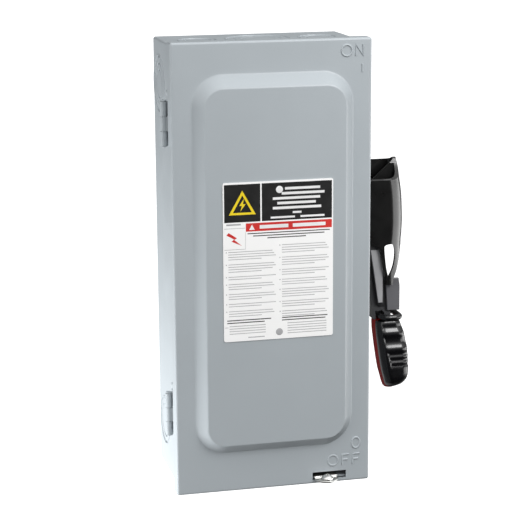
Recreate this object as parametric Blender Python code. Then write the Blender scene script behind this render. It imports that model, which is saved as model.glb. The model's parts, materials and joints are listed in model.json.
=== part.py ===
"""Wall-mounted safety switch (AC disconnect box).

A steel box with a hinged cover and a side handle, holding a fused three-pole knife switch.
Sizes are in millimetres; MM turns them into Blender's metres where a mesh is made.
+Z is up, the back plate lies on the plane Y = 0 and the user stands at -Y.
The origin is the middle of the back. The cover is closed and the handle is down, OFF.
"""

import math

import bmesh
import bpy
from mathutils import Matrix, Vector

MM = 0.001

# Driving dimensions
COVER_W = 164.0  # cover, across
COVER_H = 371.0  # cover, height
FRONT_Y = -92.0  # outer face of the cover's flat border
SHEET = 1.5  # steel sheet
FLANGE = 13.0  # depth of the cover's turned edge
PANEL_RISE = 8.5  # how far the cover's raised panel stands proud
AXIS_Y = -50.0  # handle and rotor axis, parallel to X
AXIS_Z = 33.0
DOOR_AXIS_X = -84.5  # hinge axis, parallel to Z
DOOR_AXIS_Y = -74.5
POLES = (-52.0, -17.0, 18.0)  # X of the three poles
GAP = 0.3  # clearance between touching pieces

# Derived dimensions
COVER_X = COVER_W / 2
COVER_Z = COVER_H / 2
BOX_X = COVER_X - SHEET - 2.0  # outer half width of the box
BOX_Z = COVER_Z - SHEET - 1.75  # outer half height of the box
BOX_FRONT = FRONT_Y + SHEET + 0.8
PAN_FRONT = -6.0  # front face of the mounting pan
BASE_BACK = PAN_FRONT - GAP
BASE_FRONT = -30.0  # front face of the insulating bases
FIN_FRONT = -58.0  # front edge of the barriers between the poles
STRAP_BACK = BASE_FRONT - GAP
STRAP_FRONT = STRAP_BACK - 2.5
LUG_BACK = STRAP_FRONT - GAP
LUG_FRONT = LUG_BACK - 16.0
FUSE_Y = -45.5
FUSE_R = 10.3
FUSE_TOP = -15.5
FUSE_LENGTH = 76.0
FERRULE = 16.0
SLOT_X = (33.0, 62.0)  # latch slot in the cover's front
SLOT_Z = (-182.3, -175.6)
TAB_X = (34.5, 54.0)
TAB_Z = (-180.3, -178.9)
NOSE_Z = (-181.7, -180.1)  # the tab's round nose steps down in front of the cover
TAB_FRONT = -104.0
LATCH_SCREW = (44.25, -97.9)  # X, Y of its vertical axis
HINGE_Z = {"upper": 120.2, "lower": -120.0}
HINGE_LENGTH = 35.5


# Shapes: each one is (points, faces), in millimetres


def box(x0, x1, y0, y1, z0, z1):
    return prism("Z", [(x0, y0), (x1, y0), (x1, y1), (x0, y1)], z0, z1)


def place(axis, a, b, t):
    """The point at (a, b) in the plane across axis, t along it."""
    return {"X": (t, a, b), "Y": (a, t, b), "Z": (a, b, t)}[axis]


def prism(axis, outline, lo, hi):
    return loft([[place(axis, a, b, t) for a, b in outline] for t in (lo, hi)])


def loft(rings, closed=False):
    """A skin over rings of equal length, capped at both ends, or closed end to end."""
    count = len(rings[0])
    points = [point for ring in rings for point in ring]
    faces = []
    steps = len(rings) if closed else len(rings) - 1
    for i in range(steps):
        a = i * count
        b = (i + 1) % len(rings) * count
        for j in range(count):
            k = (j + 1) % count
            faces.append((a + j, a + k, b + k, b + j))
    if not closed:
        faces.append(tuple(range(count)))
        faces.append(tuple(range(len(points) - count, len(points))))
    return points, faces


def circle(a, b, r, sides):
    turn = 2 * math.pi / sides
    return [(a + r * math.cos(i * turn), b + r * math.sin(i * turn)) for i in range(sides)]


def rod(axis, a, b, r, lo, hi, sides=24):
    return prism(axis, circle(a, b, r, sides), lo, hi)


def turned(axis, a, b, profile, sides=24, bored=False):
    """A round piece from (radius, distance along axis) pairs; bored closes the profile on itself."""
    rings = [[place(axis, u, v, t) for u, v in circle(a, b, r, sides)] for r, t in profile]
    return loft(rings, closed=bored)


def rounded(x0, x1, z0, z1, r, steps=5):
    """A rectangle with round corners, as points."""
    corners = ((x1 - r, z1 - r, 0), (x0 + r, z1 - r, 90), (x0 + r, z0 + r, 180), (x1 - r, z0 + r, 270))
    points = []
    for cx, cz, start in corners:
        for i in range(steps + 1):
            angle = math.radians(start + 90 * i / steps)
            points.append((cx + r * math.cos(angle), cz + r * math.sin(angle)))
    return points


def rounded_rings(axis, rows, steps=5):
    """Rings for a loft from rows of (distance along axis, low a, high a, low b, high b, corner radius)."""
    return [[place(axis, a, b, row[0]) for a, b in rounded(*row[1:], steps)] for row in rows]


def bars(rows):
    """Rings of a bar that changes along Z, from rows of (z, x0, x1, y0, y1)."""
    return loft([[(x0, y0, z), (x1, y0, z), (x1, y1, z), (x0, y1, z)] for z, x0, x1, y0, y1 in rows])


# Objects


def finish(name, color, roughness, metallic=0.0, alpha=1.0):
    material = bpy.data.materials.new(name)
    material.use_nodes = True
    shader = material.node_tree.nodes["Principled BSDF"]
    shader.inputs["Base Color"].default_value = (*color, 1.0)
    shader.inputs["Roughness"].default_value = roughness
    shader.inputs["Metallic"].default_value = metallic
    shader.inputs["Alpha"].default_value = alpha
    return material


def joint_axis(name, x, y, z):
    empty = bpy.data.objects.new(name, None)
    empty.location = (x * MM, y * MM, z * MM)
    empty.empty_display_size = 0.02
    bpy.context.collection.objects.link(empty)
    return empty


def shape_object(name, shape):
    points, faces = shape
    bm = bmesh.new()
    verts = [bm.verts.new(Vector(point) * MM) for point in points]
    for face in faces:
        bm.faces.new([verts[i] for i in face])
    bmesh.ops.recalc_face_normals(bm, faces=bm.faces)
    mesh = bpy.data.meshes.new(name)
    bm.to_mesh(mesh)
    bm.free()
    obj = bpy.data.objects.new(name, mesh)
    bpy.context.collection.objects.link(obj)
    return obj


def combine(obj, shape, operation):
    """Joins a shape to the object, or cuts it away, and keeps the result as the object's mesh."""
    tool = shape_object(obj.name + "_tool", shape)
    modifier = obj.modifiers.new("combine", "BOOLEAN")
    modifier.operation = operation
    modifier.solver = "EXACT"
    modifier.object = tool
    bpy.context.view_layer.update()
    result = bpy.data.meshes.new_from_object(obj.evaluated_get(bpy.context.evaluated_depsgraph_get()))
    obj.modifiers.remove(modifier)
    used = (obj.data, tool.data)
    obj.data = result
    bpy.data.objects.remove(tool)
    for mesh in used:
        bpy.data.meshes.remove(mesh)


def piece(name, material, shape, *more, cuts=(), axis=None):
    """One named solid: a first shape, more joined to it, and cuts taken away; axis is its joint's empty."""
    obj = shape_object(name, shape)
    for other in more:
        combine(obj, other, "UNION")
    for other in cuts:
        combine(obj, other, "DIFFERENCE")
    obj.data.name = name
    obj.data.materials.clear()
    obj.data.materials.append(material)
    obj.data.shade_smooth()
    obj.data.set_sharp_from_angle(angle=math.radians(35))
    if axis:
        obj.parent = axis
        obj.matrix_parent_inverse = Matrix.Translation(-axis.location)
    return obj


# Enclosure


def ring_groove(axis, a, b, diameter, face, depth=0.5, width=1.0):
    """The scored ring of a knockout, cut into a wall whose outer face is at face along axis."""
    outer = diameter / 2
    inner = outer - width
    inside = face - math.copysign(depth, face)
    outside = face + math.copysign(depth, face)
    profile = [(outer, inside), (outer, outside), (inner, outside), (inner, inside)]
    return turned(axis, a, b, profile, sides=28, bored=True)


def enclosure_back(paint):
    """The flat back plate with its keyhole and two lower screw holes."""
    outline = rounded(-BOX_X, BOX_X, -BOX_Z, BOX_Z, 2.0, 2)
    cuts = [
        rod("Y", 0, 170, 4.6, -SHEET - 2, 2, sides=20),
        box(-2.5, 2.5, -SHEET - 2, 2, 170, 177.5),
        rod("Y", -60, -166, 3.6, -SHEET - 2, 2, sides=16),
        rod("Y", 60, -166, 3.6, -SHEET - 2, 2, sides=16),
    ]
    piece("enclosure_back", paint, prism("Y", outline, -SHEET, 0.0), cuts=cuts)


def enclosure_box(paint):
    """The four walls, with a lip turned in round the front, and the scored knockouts."""
    inner_x = BOX_X - SHEET
    inner_z = BOX_Z - SHEET
    lip = 6.0
    lip_back = BOX_FRONT + SHEET
    back = -SHEET - GAP
    rows = (
        (back, -inner_x, inner_x, -inner_z, inner_z, 1.0),
        (lip_back, -inner_x, inner_x, -inner_z, inner_z, 1.0),
        (lip_back, -inner_x + lip, inner_x - lip, -inner_z + lip, inner_z - lip, 1.0),
        (BOX_FRONT, -inner_x + lip, inner_x - lip, -inner_z + lip, inner_z - lip, 1.0),
        (BOX_FRONT, -BOX_X, BOX_X, -BOX_Z, BOX_Z, 2.0),
        (back, -BOX_X, BOX_X, -BOX_Z, BOX_Z, 2.0),
    )
    cuts = [
        rod("X", AXIS_Y, AXIS_Z, 8.0, inner_x - 2, BOX_X + 2),
        box(SLOT_X[0] - 1, SLOT_X[1] + 2, BOX_FRONT - 2, lip_back + 1, -inner_z + 0.02, -inner_z + lip + 1),
    ]
    for side in (-BOX_X, BOX_X):
        cuts.append(ring_groove("X", -25, 146, 44, side))
        cuts.append(ring_groove("X", -25, -141, 38, side))
    for end in (-BOX_Z, BOX_Z):
        cuts.append(ring_groove("Z", 0, -44, 50, end))
        cuts.append(ring_groove("Z", -50, -44, 28.5, end))
        cuts.append(ring_groove("Z", 50, -44, 28.5, end))
    piece("enclosure_box", paint, loft(rounded_rings("Y", rows, 2), closed=True), cuts=cuts)


def cover_door(paint, axis):
    """The pan-shaped cover with its raised panel: one sheet, inner skin first, then the outer."""
    inner_x = COVER_X - SHEET
    inner_z = COVER_Z - SHEET
    back = FRONT_Y + FLANGE
    top = FRONT_Y - PANEL_RISE
    rows = (
        (top + SHEET, -55.4, 57.2, -142.0, 147.8, 14.2),
        (FRONT_Y + SHEET, -65.8, 66.3, -151.3, 159.8, 25.3),
        (FRONT_Y + SHEET, -inner_x + 1, inner_x - 1, -inner_z + 1, inner_z - 1, 2.0),
        (FRONT_Y + SHEET + 1, -inner_x, inner_x, -inner_z, inner_z, 2.5),
        (back, -inner_x, inner_x, -inner_z, inner_z, 2.5),
        (back, -COVER_X, COVER_X, -COVER_Z, COVER_Z, 4.0),
        (FRONT_Y + 2.0, -COVER_X, COVER_X, -COVER_Z, COVER_Z, 4.0),
        (FRONT_Y + 0.6, -COVER_X + 0.6, COVER_X - 0.6, -COVER_Z + 0.6, COVER_Z - 0.6, 3.5),
        (FRONT_Y, -COVER_X + 2, COVER_X - 2, -COVER_Z + 2, COVER_Z - 2, 2.5),
        (FRONT_Y, -66.5, 67.0, -152.0, 160.5, 26.0),
        (FRONT_Y - 1.1, -64.4, 64.9, -149.9, 158.4, 24.0),
        (top + 1.1, -58.2, 60.0, -144.8, 150.6, 17.0),
        (top, -56.2, 58.0, -142.8, 148.6, 15.0),
    )
    slot = box(*SLOT_X, FRONT_Y - 2, FRONT_Y + SHEET + 1, *SLOT_Z)
    piece("cover_door", paint, loft(rounded_rings("Y", rows)), cuts=[slot], axis=axis)


def label_plate(film, axis):
    face = FRONT_Y - PANEL_RISE - GAP
    rows = ((face, -43.3, 47.5, -55.0, 75.0, 1.5), (face - 0.4, -43.3, 47.5, -55.0, 75.0, 1.5))
    piece("label_plate", film, loft(rounded_rings("Y", rows, 3)), axis=axis)


def hinge(which, steel, axis):
    """A butt hinge: two knuckles on the box leaf, one between them on the cover leaf, and a pin."""
    middle = HINGE_Z[which]
    knuckle = HINGE_LENGTH / 3
    ends = (-1.5 * knuckle, -0.5 * knuckle - GAP / 2, -0.5 * knuckle + GAP / 2)
    low, low_top, mid_low = (middle + end for end in ends)
    high, high_low, mid_top = (middle - end for end in ends)
    wall = -BOX_X - GAP
    bore = rod("Z", DOOR_AXIS_X, DOOR_AXIS_Y, 1.9, low - 2, high + 2, sides=16)
    leaf = box(wall - 1.5, wall, -70.0, -62.5, low, high)
    arm = [(DOOR_AXIS_X, -71.5), (DOOR_AXIS_X, -73.2), (wall - 0.05, -73.2)]
    arm += [(wall - 0.05, -69.0), (wall - 1.45, -69.0)]
    shapes = []
    for z0, z1 in ((low, low_top), (high_low, high)):
        shapes.append(rod("Z", DOOR_AXIS_X, DOOR_AXIS_Y, 3.0, z0, z1, sides=16))
        shapes.append(prism("Z", arm, z0 + 0.02, z1 - 0.02))
    piece(f"{which}_hinge_box_leaf", steel, leaf, *shapes, cuts=[bore])
    flange_inside = -COVER_X + SHEET
    cover_leaf = box(flange_inside + GAP, flange_inside + GAP + 1.2, -89.0, -77.0, mid_low, mid_top)
    barrel = rod("Z", DOOR_AXIS_X, DOOR_AXIS_Y, 3.0, mid_low, mid_top, sides=16)
    arm = [(DOOR_AXIS_X, -76.9), (flange_inside + GAP + 0.1, -78.0), (flange_inside + GAP + 1.1, -77.6)]
    arm += [(flange_inside + GAP + 0.6, -76.2), (DOOR_AXIS_X, -75.4)]
    web = prism("Z", arm, mid_low + 0.02, mid_top - 0.02)
    piece(f"{which}_hinge_cover_leaf", steel, cover_leaf, barrel, web, cuts=[bore], axis=axis)
    profile = [(1.0, low - 1.0), (1.5, low - 0.5), (1.5, high + 0.4), (2.6, high + 0.4), (2.2, high + 1.4)]
    pin = turned("Z", DOOR_AXIS_X, DOOR_AXIS_Y, profile, sides=16)
    piece(f"{which}_hinge_pin", steel, pin)


def latch(steel):
    """The latch tab through the cover's slot, with a round nose and the screw that holds the cover."""
    nose = (TAB_X[1] - TAB_X[0]) / 2
    centre = (TAB_X[0] + TAB_X[1]) / 2
    outline = [(TAB_X[0], -91.4), (TAB_X[1], -91.4)]
    for i in range(17):
        angle = math.radians(-180 * i / 16)
        outline.append((centre + nose * math.cos(angle), TAB_FRONT + nose + nose * math.sin(angle)))
    x, y = LATCH_SCREW
    bore = rod("Z", x, y, 2.4, NOSE_Z[0] - 1, NOSE_Z[1] + 1, sides=16)
    step = box(*TAB_X, -92.6, -91.4, NOSE_Z[0], TAB_Z[1])
    arm = box(*TAB_X, -91.6, -72.0, *TAB_Z)
    piece("hasp_tab", steel, prism("Z", outline, *NOSE_Z), step, arm, cuts=[bore])
    floor = NOSE_Z[1] + GAP
    cap = floor + 3.6
    profile = [(1.7, NOSE_Z[0] - 0.2), (2.0, NOSE_Z[0] + 0.2), (2.0, floor), (4.9, floor), (4.9, floor + 1.6)]
    profile += [(4.2, floor + 2.8), (2.9, cap)]
    slots = [box(x - 2.2, x + 2.2, y - 0.6, y + 0.6, cap - 1.2, cap + 1)]
    slots.append(box(x - 0.6, x + 0.6, y - 2.2, y + 2.2, cap - 1.2, cap + 1))
    piece("latch_screw", steel, turned("Z", x, y, profile), cuts=slots)


# Handle, all on one axis


def handle_base(plastic):
    """The bushing in the box's side wall that the shaft turns in."""
    seat = BOX_X + GAP
    profile = [(5.4, 74.0), (7.6, 74.0), (7.6, seat), (15.0, seat), (15.0, 83.0), (13.5, 84.5), (5.4, 84.5)]
    piece("handle_base", plastic, turned("X", AXIS_Y, AXIS_Z, profile, bored=True))


def lever_arm(steel, axis):
    """The lever: a front strip that narrows to the grip's tang, a side plate, and the hub on the shaft."""
    front_bar = bars((
        (39.0, 87.5, 94.5, -57.0, -42.0),
        (8.5, 89.5, 100.0, -57.8, -42.0),
        (4.0, 92.2, 102.4, -58.5, -42.0),
        (-12.0, 94.8, 103.7, -58.5, -42.5),
        (-42.0, 99.3, 103.8, -58.5, -43.0),
        (-44.0, 99.8, 105.6, -56.0, -43.0),
        (-47.0, 101.8, 107.0, -53.8, -43.0),
        (-49.4, 104.2, 110.2, -53.9, -43.0),
        (-51.2, 105.5, 111.1, -57.0, -43.0),
        (-100.0, 106.5, 112.5, -57.0, -43.0),
    ))
    rear_web = bars((
        (-11.0, 91.5, 106.0, -53.5, -47.0),
        (-30.0, 95.4, 109.0, -53.5, -47.0),
        (-50.0, 97.8, 112.5, -53.5, -47.0),
    ))
    side_plate = bars((
        (30.0, 87.2, 90.6, -56.8, -42.2),
        (-10.0, 88.4, 92.6, -55.5, -42.2),
        (-30.0, 91.8, 96.4, -54.0, -42.2),
        (-49.0, 95.7, 98.2, -54.0, -42.2),
        (-57.4, 97.0, 99.3, -54.0, -42.2),
    ))
    hub = rod("X", AXIS_Y, AXIS_Z, 8.5, 87.0, 95.0)
    bore = rod("X", AXIS_Y, AXIS_Z, 5.4, 80.0, 110.0)
    piece("lever_arm", steel, front_bar, rear_web, side_plate, hub, cuts=[bore], axis=axis)


def handle_hood(plastic, axis):
    """The channel-shaped hood over the lever; its round corner runs on down as the padlock eye."""
    wall = 3.0
    front, rear = -62.0, -34.0
    inner_end = 88.5
    front_radius, rear_radius = 13.5, 6.0

    def channel(z, outer):
        """The U-shaped section at height z, open toward the box."""
        corners = ((-90, front + front_radius, front_radius), (0, rear - rear_radius, rear_radius))
        points = [(inner_end, front)]
        for start, cy, radius in corners:
            for i in range(7):
                angle = math.radians(start + 90 * i / 6)
                points.append((outer - radius + radius * math.cos(angle), cy + radius * math.sin(angle)))
        points += [(inner_end, rear), (inner_end, rear - wall)]
        for start, cy, radius in reversed(corners):
            for i in range(7):
                angle = math.radians(start + 90 - 90 * i / 6)
                x = outer - radius + (radius - wall) * math.cos(angle)
                points.append((x, cy + (radius - wall) * math.sin(angle)))
        points.append((inner_end, front + wall))
        return [(x, y, z) for x, y in points]

    rows = ((-27.0, 121.0), (8.0, 121.3), (17.0, 121.9), (30.0, 122.3), (50.0, 121.4))
    rows += ((66.0, 119.2), (84.0, 117.0))
    shell = loft([channel(z, outer) for z, outer in rows])
    gusset = prism("Y", [(89.5, 54.0), (92.5, 58.5), (116.0, 80.0), (119.0, 54.0)], -49.0, -46.8)
    top = [(-75, 63.2), (-62, 63.4), (-59, 64.2), (-55.5, 66.2), (-46, 80.4), (-34, 76.8), (-25, 76.5)]
    top += [(-25, 99), (-75, 99)]
    below_left = [(80, 8.0), (96.0, 8.0), (99.6, 3.0), (102.6, -12.0), (105.4, -19.5), (105.4, -26.0)]
    below_left += [(105.4, -40), (80, -40)]
    below_right = [(130, 5.0), (119.3, 4.5), (117.8, -4.0), (115.0, -13.8), (112.2, -20.5), (111.4, -26.0)]
    below_right += [(111.4, -40), (130, -40)]
    hole = [(103.4, 7.6), (109.6, 8.8), (112.2, 7.0), (113.4, 0.5), (112.1, -8.8), (108.8, -17.0)]
    hole += [(107.2, -18.6), (106.2, -16.0), (104.9, -8.6)]
    cuts = [
        prism("X", top, 80, 130),
        prism("Y", below_left, -75, -20),
        prism("Y", below_right, -75, -20),
        prism("Y", hole, -75, -30),
        box(84, 130, -52.0, -30, -30, 8.0),
        box(84, 130, -75, -20, -40, -26.0),
    ]
    piece("handle_hood", plastic, shell, gusset, cuts=cuts, axis=axis)


def lock_plate(plastic, axis):
    outline = [(106.2, -21.6), (118.0, -21.6), (118.9, -28.0), (118.9, -49.4), (108.0, -49.4)]
    piece("lock_plate", plastic, prism("Y", outline, -57.6, -54.4), axis=axis)


def grip(black, red, axis):
    """The hand grip in two halves round the lever's tang, and the bead at its top."""
    middle = -55.5
    rows = (
        (-57.8, 98.3, 118.4, -63.0, -38.8, 6.0),
        (-61.5, 98.0, 119.9, -64.6, -38.4, 6.5),
        (-68.0, 98.4, 122.1, -65.6, -38.0, 7.0),
        (-76.0, 99.4, 124.1, -66.2, -38.0, 7.0),
        (-88.5, 101.2, 125.9, -66.5, -38.0, 7.0),
        (-101.3, 103.4, 126.2, -66.5, -38.0, 7.0),
        (-108.0, 105.2, 125.3, -66.0, -38.0, 7.0),
        (-112.8, 106.5, 122.6, -63.6, -38.2, 6.5),
        (-116.2, 107.6, 120.2, -57.8, -38.6, 6.0),
        (-119.0, 108.9, 117.0, -51.5, -39.5, 4.0),
    )
    body = loft(rounded_rings("Z", rows, 4))
    tang = bars((
        (-50.0, 105.0, 111.4, -57.4, -42.6),
        (-101.0, 106.1, 112.9, -57.4, -42.6),
    ))
    grooves = ((-72.5, -72.4, 8.0), (-85.5, -69.2, 4.4), (-93.5, -69.4, 4.4))
    cuts = [tang, box(80, 140, middle - GAP / 2, 0, -140, -40)]
    cuts += [rod("X", y, z, r, 104.5, 130.0) for z, y, r in grooves]
    piece("grip_front", black, body, cuts=cuts, axis=axis)
    cuts = [tang, box(80, 140, -90, middle + GAP / 2, -140, -40)]
    piece("grip_back", red, body, cuts=cuts, axis=axis)
    tube = 2.5
    rings = []
    for i in range(8):
        angle = 2 * math.pi * i / 8
        out = tube * math.cos(angle)
        z = -54.2 + tube * math.sin(angle)
        section = rounded(102.4 - out, 118.2 + out, -63.8 - out, -38.0 + out, 6.0 + out, 4)
        rings.append([(x, y, z) for x, y in section])
    piece("grip_bead", black, loft(rings, closed=True), axis=axis)


# Switch mechanism


def drive(steel, spring_steel, handle_axis, rotor_axis):
    """The handle's shaft and crank, the rotor's crank, and the torsion spring between them."""
    piece("drive_shaft", steel, rod("X", AXIS_Y, AXIS_Z, 5.0, 53.5, 103.0), axis=handle_axis)
    arm = [(-9.0, 5.0), (9.0, 5.0), (4.0, 19.0), (-4.0, 19.0)]
    for name, x0, x1, turn, axis in (
        ("drive_crank", 63.5, 69.5, 180, handle_axis),
        ("rotor_crank", 49.0, 52.3, 45, rotor_axis),
    ):
        angle = math.radians(turn)
        outline = []
        for y, z in arm:
            turned_y = y * math.cos(angle) - z * math.sin(angle)
            turned_z = y * math.sin(angle) + z * math.cos(angle)
            outline.append((AXIS_Y + turned_y, AXIS_Z + turned_z))
        disc = rod("X", AXIS_Y, AXIS_Z, 11.0, x0, x1)
        bore = rod("X", AXIS_Y, AXIS_Z, 5.4, x0 - 2, x1 + 2)
        piece(name, steel, disc, prism("X", outline, x0 + 0.02, x1 - 0.02), cuts=[bore], axis=axis)
    turns, steps, wire, coil, start, pitch = 3.5, 14, 1.1, 8.6, 53.2, 2.1
    rings = []
    for i in range(int(turns * steps) + 1):
        angle = 2 * math.pi * i / steps
        ring = []
        for j in range(6):
            around = 2 * math.pi * j / 6
            r = coil + wire * math.cos(around)
            x = start + wire + pitch * i / steps + wire * math.sin(around)
            ring.append((x, AXIS_Y + r * math.cos(angle), AXIS_Z + r * math.sin(angle)))
        rings.append(ring)
    piece("torsion_spring", spring_steel, loft(rings), axis=handle_axis)


def mechanism_frame(steel):
    back, floor, front = BASE_BACK, BASE_BACK - 2, -70.0
    outline = [(46, back), (46, front), (48, front), (48, floor)]
    outline += [(71, floor), (71, front), (73, front), (73, back)]
    cuts = [
        rod("X", AXIS_Y, AXIS_Z, 5.5, 40, 80),
        rod("X", -35, 70, 2.35, 65, 80, sides=16),
    ]
    piece("mechanism_frame", steel, prism("Z", outline, 6, 80), cuts=cuts)


def rotor(plastic, copper, axis):
    """The insulating bar and its three knife blades, which lean 45 degrees forward of upright when OFF."""
    profile = [(5.0, -74.0), (5.0, -68.0), (8.0, -68.0), (8.0, 44.5), (5.0, 44.5), (5.0, 52.8)]
    piece("rotor_bar", plastic, turned("X", AXIS_Y, AXIS_Z, profile), axis=axis)
    half, disc, tip, root = 5.0, 12.0, 48.0, 17.0
    side = math.degrees(math.asin(half / disc))
    outline = [(half, -root), (half - 1.5, -root), (-half + 1.5, -root), (-half, -root)]
    for start, end in ((270 - side, 90 + side), (90 - side, -90 + side)):
        for i in range(7):
            angle = math.radians(start + (end - start) * i / 6)
            outline.append((disc * math.cos(angle), disc * math.sin(angle)))
        if start > 180:
            outline += [(-half, tip - 2), (-half + 2, tip), (half - 2, tip), (half, tip - 2)]
    cos = sin = math.sqrt(0.5)
    leaning = [(AXIS_Y + y * cos - z * sin, AXIS_Z + y * sin + z * cos) for y, z in outline]
    for number, x in enumerate(POLES, 1):
        hole = rod("X", AXIS_Y, AXIS_Z, 8.4, x - 3, x + 3)
        piece(f"knife_blade_{number}", copper, prism("X", leaning, x - 1.2, x + 1.2), cuts=[hole], axis=axis)


def interlock(steel, axis):
    """The sprung lever that keeps the cover shut while the handle is ON, and its pivot pin."""
    y, z = -35.0, 70.0
    outline = []
    for i in range(9):
        angle = math.radians(-90 + 180 * i / 8)
        outline.append((y + 6 * math.cos(angle), z + 6 * math.sin(angle)))
    outline += [(y - 4, z + 3.5), (-78.0, z + 3.5), (-80.0, z + 12.0)]
    outline += [(-86.0, z + 12.0), (-86.0, z - 3.5), (y - 4, z - 3.5)]
    hole = rod("X", y, z, 2.35, 70, 80, sides=16)
    piece("interlock_lever", steel, prism("X", outline, 73.5, 75.5), cuts=[hole], axis=axis)
    profile = [(2.0, 70.0), (2.0, 75.8), (3.6, 75.8), (3.2, 76.6)]
    piece("interlock_pin", steel, turned("X", y, z, profile, sides=16))


# Current path


def mounting_pan(steel):
    plate = box(-68, 68, PAN_FRONT, PAN_FRONT + SHEET, -148, 166)
    feet = []
    for x in (-58, 58):
        for z in (-138, 156):
            feet.append(box(x - 7, x + 7, PAN_FRONT + SHEET - 0.5, -SHEET - GAP, z - 7, z + 7))
    piece("mounting_pan", steel, plate, *feet)


def comb(fins):
    """The bases' section: a slab with a barrier between the poles and at both ends."""
    half = 1.2
    points = [(fins[0] - half, BASE_BACK)]
    for fin in fins:
        points += [(fin - half, BASE_FRONT), (fin - half, FIN_FRONT)]
        points += [(fin + half, FIN_FRONT), (fin + half, BASE_FRONT)]
    points[1] = (fins[0] - half, -45.0)
    points[-1] = (fins[-1] + half, -45.0)
    points.append((fins[-1] + half, BASE_BACK))
    return points


def insulators(phenolic, clear):
    pitch = POLES[1] - POLES[0]
    fins = [POLES[0] - pitch / 2 + i * pitch for i in range(4)]
    piece("line_base", phenolic, prism("Z", comb(fins), 62, 165))
    piece("load_base", phenolic, prism("Z", comb(fins), -140, 23))
    shield = box(fins[0] - 1, fins[3] + 1, -60.0, FIN_FRONT - GAP, 98, 164)
    holes = [rod("Y", x, 135, 6.0, -65, -55) for x in POLES]
    piece("line_shield", clear, shield, cuts=holes)


def lug(name, x, z, aluminium, steel):
    """A box lug: wire hole up and down, and a socket screw from the front."""
    wire_y = -39.0
    body = box(x - 8, x + 8, LUG_FRONT, LUG_BACK, z - 11, z + 11)
    wire = rod("Z", x, wire_y, 4.6, z - 15, z + 15)
    tapped = rod("Y", x, z, 4.3, LUG_FRONT - 3, wire_y, sides=20)
    piece(name, aluminium, body, cuts=[wire, tapped])
    screw = turned("Y", x, z, [(3.4, -44.6), (3.9, -45.2), (3.9, -51.0), (3.3, -51.6)], sides=20)
    socket = rod("Y", x, z, 2.0, -53, -48, sides=6)
    piece(f"{name}_screw", steel, screw, cuts=[socket])


def fingers(x, y0, y1, z0, z1):
    """The two spring leaves that a blade slides between."""
    return [box(x + s * 2.4 - 0.9, x + s * 2.4 + 0.9, y0, y1, z0, z1) for s in (-1, 1)]


def fuse_clip(name, copper, x, clip, strap, more=()):
    """A U-shaped clip round one ferrule, on its copper strap."""
    half, wall, reach = 12.2, 1.5, -54.0
    inner = half - wall
    outline = [(x - half, STRAP_BACK), (x - half, reach), (x - inner, reach), (x - inner, STRAP_FRONT)]
    outline += [(x + inner, STRAP_FRONT), (x + inner, reach), (x + half, reach), (x + half, STRAP_BACK)]
    bar = box(x - 7, x + 7, STRAP_FRONT + 0.1, STRAP_BACK - 0.1, *strap)
    piece(name, copper, prism("Z", outline, *clip), bar, *more)


def poles(copper, aluminium, steel, fibre):
    strap = (STRAP_FRONT + 0.05, STRAP_BACK - 0.05)
    fuse_end = FUSE_TOP - FUSE_LENGTH
    for number, x in enumerate(POLES, 1):
        bar = box(x - 7, x + 7, *strap, 64, 148)
        piece(f"line_jaw_{number}", copper, bar, *fingers(x, -56, -31.5, 64.5, 84))
        lug(f"line_lug_{number}", x, 135, aluminium, steel)
        fuse_clip(
            f"fuse_clip_upper_{number}", copper, x, (FUSE_TOP - FERRULE, FUSE_TOP), (FUSE_TOP - 12, 22),
            fingers(x, -58, -31.5, 8, 21.8),
        )
        fuse_clip(
            f"fuse_clip_lower_{number}", copper, x, (fuse_end, fuse_end + FERRULE), (-136, fuse_end + 12),
        )
        profile = [
            (FUSE_R - 1, fuse_end), (FUSE_R, fuse_end + 1), (FUSE_R, fuse_end + FERRULE),
            (FUSE_R - 0.9, fuse_end + FERRULE), (FUSE_R - 0.9, FUSE_TOP - FERRULE),
            (FUSE_R, FUSE_TOP - FERRULE), (FUSE_R, FUSE_TOP - 1), (FUSE_R - 1, FUSE_TOP),
        ]
        piece(f"fuse_{number}", fibre, turned("Z", x, FUSE_Y, profile))
        lug(f"load_lug_{number}", x, -123, aluminium, steel)


def rotor_bearing(steel):
    foot = BASE_BACK - 2
    outline = [(-73, BASE_BACK), (-73, -62), (-71, -62), (-71, foot), (-60, foot), (-60, BASE_BACK)]
    hole = rod("X", AXIS_Y, AXIS_Z, 5.5, -80, -65)
    piece("rotor_bearing", steel, prism("Z", outline, 24, 42), cuts=[hole])


def ground_lug(aluminium):
    body = box(44, 60, -24, BASE_BACK, -142, -120)
    wire = rod("Z", 52, -14, 4.4, -150, -110)
    screw = turned("Y", 52, -131, [(3.9, -20.0), (3.9, -26.4), (3.3, -27.0)], sides=20)
    piece("ground_lug", aluminium, body, screw, cuts=[wire, rod("Y", 52, -131, 2.0, -30, -23.5, sides=6)])


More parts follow.
